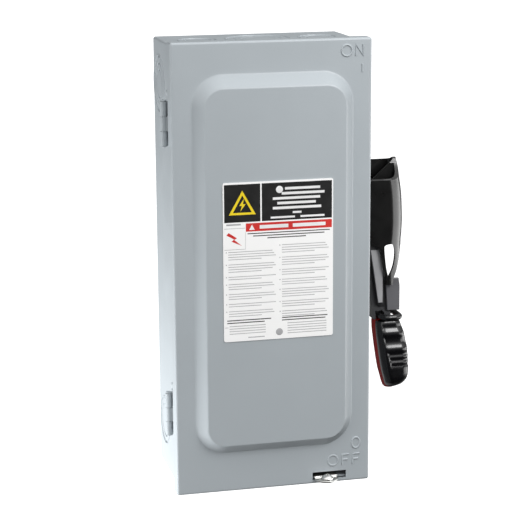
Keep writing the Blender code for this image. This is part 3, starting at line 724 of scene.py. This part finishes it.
def enclosure():
    """Walls, turned-in lip and back of the box in one smooth mesh, with knockouts and screw holes."""
    half_x, half_z = BOX_HIGH.x, BOX_HIGH.z
    inner_x, inner_z = half_x - SHEET, half_z - SHEET
    rings = []

    def ring(y, x, z, r):
        rings.append([place("Y", a, b, y) for a, b in rounded(-x, x, -z, z, r, 8)])

    ring(-SHEET, inner_x, inner_z, 1.2)
    ring(BOX_FRONT + SHEET, inner_x, inner_z, 1.2)
    ring(BOX_FRONT + SHEET, inner_x - LIP, inner_z - LIP, 1.0)
    ring(BOX_FRONT, inner_x - LIP, inner_z - LIP, 1.0)
    for back, inset in bend(1.6, 4):
        ring(BOX_FRONT + back, half_x - inset, half_z - inset, 2.0)
    for inset, out in bend(1.2, 4):
        ring(-out, half_x - inset, half_z - inset, 2.0)
    obj = shaped("box_shell", loft(rings), "gray_paint", "enclosure", ["enclosure_box", "enclosure_back"])
    places = [("X", *row, side) for row in SIDE_KNOCKOUTS for side in (-half_x, half_x)]
    places += [("Z", *row, end) for end in (-half_z, half_z) for row in END_KNOCKOUTS]
    stamps = [knockout(*row) for row in places]
    cut(obj, *(bead for _, bead in stamps), operation="UNION")
    cut(obj, *(groove for grooves, _ in stamps for groove in grooves))
    cut(
        obj,
        bore("X", *HANDLE_HOLE, half_x - 4, half_x + 4),
        block(32.0, 64.0, BOX_FRONT - 2, BOX_FRONT + SHEET + 1, -inner_z + 0.02, -inner_z + LIP + 1),
        bore("Y", *KEYHOLE, -4, 2),
        block(-2.5, 2.5, -4, 2, 170, 177.5),
        *(bore("Y", *hole, -4, 2) for hole in FOOT_HOLES),
    )
    smooth(obj, 30.0)
    section = ((2.6, -0.2), (2.6, 0.2), (2.2, 0.8), (1.2, 1.2), (0.3, 1.3))
    for name, z in (("upper", 143.0), ("lower", -100.0)):
        rivet = turned("X", -60.0, z, [(r, -half_x - rise) for r, rise in section], 24)
        piece = shaped(f"wall_rivet_{name}", rivet, "gray_paint", "enclosure")
        smooth(piece, 50.0, weighted=False)


def latch():
    """The latch tab's round nose, and the cross-recessed pan screw on it."""
    softened("hasp_tab", 0.35, 3, 40.0)
    low, high = box_mm("latch_screw")
    x, y = (low.x + high.x) / 2, (low.y + high.y) / 2
    head = (high.x - low.x) / 2
    seat = high.z - 3.6  # where the head sits on the tab
    shank = [(1.6, low.z), (2.0, low.z + 0.4), (2.0, seat)]
    dome = [(head, seat), (head, seat + 0.7), (head - 0.2, seat + 1.3), (head - 0.7, seat + 2.0)]
    dome += [(head - 1.6, seat + 2.8), (head - 2.9, seat + 3.4), (0.6, high.z)]
    screw = shaped("pan_screw", turned("Z", x, y, shank + dome), "zinc_plate", "enclosure", ["latch_screw"])
    arm, thin, floor = 2.2, 0.6, high.z - 1.7  # the cross recess: half its length and width, its floor
    cut(
        screw,
        block(x - arm, x + arm, y - thin, y + thin, floor, high.z + 1),
        block(x - thin, x + thin, y - arm, y + arm, floor, high.z + 1),
        turned("Z", x, y, [(0.5, high.z - 2.0), (1.6, high.z + 0.5)]),
    )
    smooth(screw, 40.0)


# Handle

HOOD_ROWS = (  # z, and the hood's outer x there
    (-27.0, 121.0), (8.0, 121.3), (17.0, 121.9), (30.0, 122.3), (50.0, 121.4), (66.0, 119.2), (84.0, 117.0),
)
HOOD_WALL = 3.0
HOOD_FRONT, HOOD_REAR = -62.0, -34.0
HOOD_INNER = 88.5  # x where the channel opens toward the box
HOOD_TOP = ((-62.5, 63.4), (-59, 64.2), (-55.5, 66.2), (-51, 72.0), (-46.5, 80.0))  # y, z of its edge
# Outlines (x, z) that leave the padlock eye below the hood.
EYE_LEFT = ((94.5, 8.0), (98.2, 6.2), (99.9, 2.0), (102.6, -12.0), (105.2, -19.5), (105.4, -26.5))
EYE_RIGHT = ((121.5, 9.0), (119.3, 4.5), (117.8, -4.0), (115.0, -13.8), (112.2, -20.5), (111.4, -26.5))
EYE_HOLE = (
    (103.6, 5.0), (104.6, 8.0), (109.4, 8.9), (112.1, 7.2), (113.4, 0.5), (112.1, -8.8), (109.0, -16.4),
    (107.3, -18.6), (106.3, -16.0), (104.9, -8.6),
)


def channel(outer):
    """The hood's section (x, y): a channel open toward the box, its two outer corners round."""
    corners = ((-90, HOOD_FRONT + 13.5, 13.5), (0, HOOD_REAR - 6.0, 6.0))
    points = [(HOOD_INNER, HOOD_FRONT)]
    for start, y, r in corners:
        points += arc(outer - r, y, r, start, 90, 24)
    points += [(HOOD_INNER, HOOD_REAR), (HOOD_INNER, HOOD_REAR - HOOD_WALL)]
    for start, y, r in reversed(corners):
        points += arc(outer - r, y, r - HOOD_WALL, start + 90, -90, 24)
    points.append((HOOD_INNER, HOOD_FRONT + HOOD_WALL))
    return points


def hood():
    """The channel-shaped hood, whose round corner runs on down as the padlock eye."""
    rings = [[(x, y, z) for x, y in channel(outer)] for z, outer in eased(HOOD_ROWS, 8)]
    obj = shaped("fine_handle_hood", loft(rings), "black_plastic", "handle", ["handle_hood"])
    gusset = prism("Y", [(89.5, 54.0), (92.5, 58.5), (116.0, 80.0), (119.0, 54.0)], -49.0, -46.8)
    above = [(-75, 63.3)] + eased(HOOD_TOP)
    above += [(-45.5, 80.4), (-34, 76.8), (-25, 76.5), (-25, 99), (-75, 99)]
    cut(obj, gusset, operation="UNION")
    cut(
        obj,
        prism("X", above, 80, 130),
        prism("Y", [(80, 8.0)] + eased(EYE_LEFT) + [(105.4, -40), (80, -40)], -75, -20),
        prism("Y", [(130, 9.0)] + eased(EYE_RIGHT) + [(111.4, -40), (130, -40)], -75, -20),
        prism("Y", eased(EYE_HOLE, closed=True), -75, -30),
        block(84, 130, -52.0, -30, -30, 8.0),
        block(84, 130, -75, -20, -40, -26.0),
    )
    # The bevels take the pale gray finish, which paints a highlight along the hood's rims.
    bevel(obj, 0.6, 3, 40.0, TRIM["painted_edge_highlight"])
    smooth(obj, 40.0)


FACE_ROWS = ((4.0, 92.6, 102.0), (-12.0, 95.2, 103.3), (-41.6, 99.7, 103.4))  # z, x0, x1


def lever():
    """The lever, the paler strip down its face, and the lock plate."""
    softened("lever_arm", 0.5, 3)
    rings = []
    for y, inset in ((-58.45, 0.0), (-58.7, 0.35)):
        left = [(x0 + inset, y, z) for z, x0, x1 in FACE_ROWS]
        right = [(x1 - inset, y, z) for z, x0, x1 in reversed(FACE_ROWS)]
        rings.append(left + right)
    strip = shaped("lever_face", loft(rings), "lever_steel", "handle", material=TRIM["lever_face"])
    smooth(strip, 40.0)
    softened("lock_plate", 0.6, 3)


GRIP_ROWS = (  # z, x0, x1, y0, y1 and corner radius
    (-57.8, 98.3, 118.4, -63.0, -38.8, 6.0),
    (-61.5, 98.0, 119.9, -64.6, -38.4, 6.5),
    (-68.0, 98.4, 122.1, -65.6, -38.0, 7.0),
    (-76.0, 99.4, 124.1, -66.2, -38.0, 7.0),
    (-88.5, 101.2, 125.9, -66.5, -38.0, 7.0),
    (-101.3, 103.4, 126.2, -66.5, -38.0, 7.0),
    (-108.0, 105.2, 125.3, -66.0, -38.0, 7.0),
    (-112.8, 106.5, 122.6, -63.6, -38.2, 6.5),
    (-116.2, 107.6, 120.2, -57.8, -38.6, 6.0),
    (-119.0, 108.9, 117.0, -51.5, -39.5, 4.0),
)
GRIP_EDGE = 126.19  # the smooth rows between swell no further than this x
GRIP_SPLIT = -55.5  # y where the black half meets the red one
GRIP_GAP = 0.3
RECESS_TOP, RECESS_FOOT = -57.8, -98.2
RECESS_DEPTH = 1.9
RECESS_LEFT = ((-57.0, 100.6), (-68.0, 101.4), (-78.6, 103.8), (-92.2, 107.6), (-99.0, 109.6))  # z, x
RIDGES = ((-67.6, 2.0, 4.4), (-81.8, 2.1, 3.9), (-88.9, 1.2, 1.9), (-94.0, 1.2, 1.8))  # z, height, width


def clamped(value):
    """The value, kept between 0 and 1."""
    return min(max(value, 0.0), 1.0)


def recess(x, y, z):
    """How far the grip's front is pushed in at a point: a sunk panel with finger ridges across it."""
    if not RECESS_FOOT < z < -58.0:
        return 0.0
    for (z1, x1), (z2, x2) in zip(RECESS_LEFT, RECESS_LEFT[1:]):
        if z2 <= z <= z1:
            left = x1 + (x2 - x1) * (z1 - z) / (z1 - z2)
    depth = RECESS_DEPTH
    for centre, height, width in RIDGES:
        depth -= height * math.exp(-(((z - centre) / width) ** 2) * 1.2)
    ramps = ((x - left) / 1.6, (z - RECESS_FOOT) / 0.9, (RECESS_TOP - z) / 6.5, (-55.0 - y) / 6.0)
    blend = 1.0
    for t in map(clamped, ramps):
        blend *= t * t * (3 - 2 * t)
    return max(depth, 0.0) * blend


def grip_rings():
    """The grip's sections, with points along the straight sides too, and the recess pushed in."""
    arc_steps = 14
    side_steps = (6, 6, 14, 6)  # rear to left, left, front, right
    size = arc_steps + 1
    rings = []
    for z, x0, x1, y0, y1, r in eased(GRIP_ROWS, 14):
        outline = rounded(x0, x1, y0, y1, r, arc_steps)
        ring = []
        for corner, steps in enumerate(side_steps):
            ring += outline[corner * size:(corner + 1) * size]
            last, following = ring[-1], outline[(corner + 1) * size % len(outline)]
            for i in range(1, steps):
                ring.append(tuple(a + (b - a) * i / steps for a, b in zip(last, following)))
        rings.append([(min(x, GRIP_EDGE), y + recess(x, y, z), z) for x, y in ring])
    return rings


def half_of(mesh, side):
    """Cuts the grip's mesh at the split and keeps the front (side 1) or the rear (side -1), capped."""
    bm = bmesh.new()
    bm.from_mesh(mesh)
    found = bmesh.ops.bisect_plane(
        bm, geom=bm.verts[:] + bm.edges[:] + bm.faces[:],
        plane_co=(0, (GRIP_SPLIT - side * GRIP_GAP / 2) * MM, 0), plane_no=(0, side, 0), clear_outer=True,
    )
    edges = [item for item in found["geom_cut"] if isinstance(item, bmesh.types.BMEdge)]
    bmesh.ops.contextual_create(bm, geom=edges)
    bmesh.ops.recalc_face_normals(bm, faces=bm.faces)
    bm.to_mesh(mesh)
    bm.free()
    return mesh


def grip():
    """Two halves, glossy black in front and red behind, with the bead round the neck."""
    body = loft(grip_rings())
    for node, side in (("grip_front", 1), ("grip_back", -1)):
        mesh = half_of(mesh_from("fine_" + node, *body), side)
        obj = add_piece("fine_" + node, mesh, SLOT_OF[node], "handle", [node])
        bevel(obj, 0.35, 2, 60.0)
        smooth(obj, 50.0, weighted=False)
    rings = []
    for out, up in oval(0.0, 0.0, 2.5, 2.5, 20):
        section = rounded(102.4 - out, 118.2 + out, -63.8 - out, -38.0 + out, 6.0 + out, 12)
        rings.append([(x, y, -54.2 + up) for x, y in section])
    bead = shaped("fine_grip_bead", loft(rings, closed=True), "grip_black", "handle", ["grip_bead"])
    smooth(bead, 60.0, weighted=False)


# Inside

FERRULE = 16.0  # length of a fuse's brass end
POLES = (-52.0, -17.0, 18.0)  # x of each pole
SOFT_EDGES = {
    "upper_hinge_box_leaf": 0.3, "upper_hinge_cover_leaf": 0.3,
    "lower_hinge_box_leaf": 0.3, "lower_hinge_cover_leaf": 0.3,
    "handle_base": 0.5, "mounting_pan": 0.4, "line_base": 0.5, "load_base": 0.5, "mechanism_frame": 0.4,
    "rotor_bearing": 0.4, "rotor_bar": 0.5, "interlock_lever": 0.3, "drive_crank": 0.5, "rotor_crank": 0.5,
    "ground_lug": 0.5, "line_shield": 0.3, "drive_shaft": 0.5,
}


def fuse(number, x):
    """A fibre tube between two brass ferrules, with a pale paper band."""
    low, high = box_mm(f"fuse_{number}")
    y = (low.y + high.y) / 2
    cap = ((8.2, 0.0), (9.6, 0.3), (10.3, 1.0), (10.3, FERRULE - 0.4), (10.1, FERRULE), (9.0, FERRULE))

    def part(name, profile, **extra):
        piece = shaped(f"{name}_{number}", turned("Z", x, y, profile, 64), "fuse_fibre", "enclosure", **extra)
        smooth(piece, 40.0)

    tube = [(9.3, low.z + FERRULE - 1), (9.3, high.z - FERRULE + 1)]
    part("fuse_tube", tube, replaced=[f"fuse_{number}"])
    for end, start, inward in (("upper", high.z, -1), ("lower", low.z, 1)):
        profile = [(r, start + inward * along) for r, along in cap]
        part(f"fuse_ferrule_{end}", profile, material=TRIM["ferrule_brass"])
    band = [(9.2, low.z + 25), (9.42, low.z + 25.1), (9.42, high.z - 25.1), (9.2, high.z - 25)]
    part("fuse_mark", band, material=FINISH["label_film"])


def inside():
    """Finer copies of the mechanism's nodes, and the fuses."""
    for node, width in SOFT_EDGES.items():
        softened(node, width)
    for number, x in enumerate(POLES, 1):
        fuse(number, x)
        for kind in ("line_lug", "load_lug"):
            softened(f"{kind}_{number}", 0.6, 3)
        for kind in ("line_jaw", "knife_blade", "fuse_clip_upper", "fuse_clip_lower"):
            softened(f"{kind}_{number}", 0.3)


cover()
letters()
label_header()
label_band()
label_columns()
label_discs()
enclosure()
latch()
hood()
lever()
grip()
inside()


# Camera, light and floor

LENS, SENSOR = 120.35, 36.0
CAMERA_PLACE = (-0.3311, -1.4200, 0.3193)
CAMERA_YAW, CAMERA_PITCH, CAMERA_ROLL = 13.5508, 12.7919, -0.3561
FLOOR_HALF, FLOOR_Z = 30, -0.8
KEY_DIRECTION = (-0.12, -0.62, 0.775)
KEY_DARK, KEY_BRIGHT = 0.05, 1.42
CARD_RIGHT, CARD_LEFT, CARD_SIDE = 0.25, 0.35, 0.12


def camera():
    """The photograph's view."""
    data = bpy.data.cameras.new("camera")
    data.lens = LENS
    data.sensor_width = SENSOR
    data.clip_end = 80.0
    obj = linked("camera", data)
    yaw, pitch, roll = (math.radians(angle) for angle in (CAMERA_YAW, CAMERA_PITCH, CAMERA_ROLL))
    aim = Matrix.Rotation(-yaw, 4, "Z") @ Matrix.Rotation(math.pi / 2 - pitch, 4, "X")
    obj.matrix_world = Matrix.Translation(CAMERA_PLACE) @ aim @ Matrix.Rotation(roll, 4, "Z")
    bpy.context.scene.camera = obj


def area_light(name, place, target, size, power):
    """A rectangular light that faces the target and isn't seen itself."""
    data = bpy.data.lights.new(name, "AREA")
    data.shape = "RECTANGLE"
    data.size, data.size_y = size
    data.energy = power
    obj = linked(name, data)
    aim = (Vector(target) - Vector(place)).to_track_quat("-Z", "Y")
    obj.matrix_world = Matrix.Translation(place) @ aim.to_matrix().to_4x4()
    obj.visible_camera = False
    return obj


def stage():
    """A wide pale floor well below the box, which hangs as on a wall."""
    far = FLOOR_HALF
    corners = [(x, y, FLOOR_Z) for x, y in ((-far, -far), (far, -far), (far, far), (-far, far))]
    mesh = bpy.data.meshes.new("floor")
    mesh.from_pydata(corners, [], [(0, 1, 2, 3)])
    paint = Paint("floor_white", (0.93, 0.93, 0.93), 0.9, Emission_Color=(1, 1, 1, 1), Emission_Strength=0.4)
    paint.tint(paint.ramp(paint.noise(3.0), 0.0, 1.0), 0.995, 1.005)
    mesh.materials.append(paint.material)
    floor = linked("floor", mesh)
    floor.visible_diffuse = False
    floor.visible_glossy = False


def sky():
    """A wide bright patch high in front, darker low in front, and pale cards behind and at the side."""
    world = bpy.data.worlds.new("world")
    world.use_nodes = True
    tree = world.node_tree
    background = tree.nodes["Background"]
    place = tree.nodes.new("ShaderNodeTexCoord").outputs["Generated"]
    split = tree.nodes.new("ShaderNodeSeparateXYZ")
    tree.links.new(place, split.inputs["Vector"])
    x, y, z = (split.outputs[name] for name in "XYZ")

    def span(output, low, high, first, second):
        """Eases from first, where the output is low, to second, where it is high."""
        made = tree.nodes.new("ShaderNodeMapRange")
        made.interpolation_type = "SMOOTHSTEP"
        for socket, value in (("From Min", low), ("From Max", high), ("To Min", first), ("To Max", second)):
            made.inputs[socket].default_value = value
        tree.links.new(output, made.inputs["Value"])
        return made.outputs["Result"]

    def combined(operation, *values):
        """All the values added up or multiplied together."""
        result = values[0]
        for value in values[1:]:
            made = tree.nodes.new("ShaderNodeMath")
            made.operation = operation
            tree.links.new(result, made.inputs[0])
            tree.links.new(value, made.inputs[1])
            result = made.outputs["Value"]
        return result

    toward = tree.nodes.new("ShaderNodeVectorMath")
    toward.operation = "DOT_PRODUCT"
    tree.links.new(place, toward.inputs[0])
    toward.inputs[1].default_value = KEY_DIRECTION
    key = (span(toward.outputs["Value"], -0.3, 1.0, KEY_DARK, KEY_BRIGHT), span(z, -0.2, 0.4, 0.03, 1.0))
    right = (span(x, 0.15, 0.6, 0.0, CARD_RIGHT), span(y, -0.45, 0.15, 0.0, 1.0))
    left = (span(x, 0.3, -0.1, 0.0, CARD_LEFT), span(y, 0.0, 0.4, 0.0, 1.0), span(z, -0.1, -0.4, 0.0, 1.0))
    side = (span(x, -0.4, -0.8, 0.0, CARD_SIDE), span(z, 0.7, 0.2, 0.0, 1.0))
    patches = [combined("MULTIPLY", *spans) for spans in (key, right, side, left)]
    tree.links.new(combined("ADD", *patches), background.inputs["Strength"])
    background.inputs["Color"].default_value = (1.0, 1.0, 1.0, 1.0)
    bpy.context.scene.world = world


def lighting():
    """The sky, a small key from the upper right, a fill on the left wall, and a card for reflections."""
    sky()
    area_light("upper_right", (0.42, -0.75, 0.55), (0.05, -0.1, 0.08), (0.4, 0.4), 5.0)
    fill = area_light("lower_left", (-0.4, -0.03, -0.3), (-0.08, -0.05, -0.08), (0.25, 0.25), 3.6)
    fill.visible_glossy = False
    card = area_light("right_reflection", (1.9, -0.5, -0.45), (0.11, -0.05, 0.02), (3.0, 0.8), 24.0)
    card.visible_diffuse = False
    bpy.context.scene.view_settings.view_transform = "Standard"


camera()
stage()
lighting()
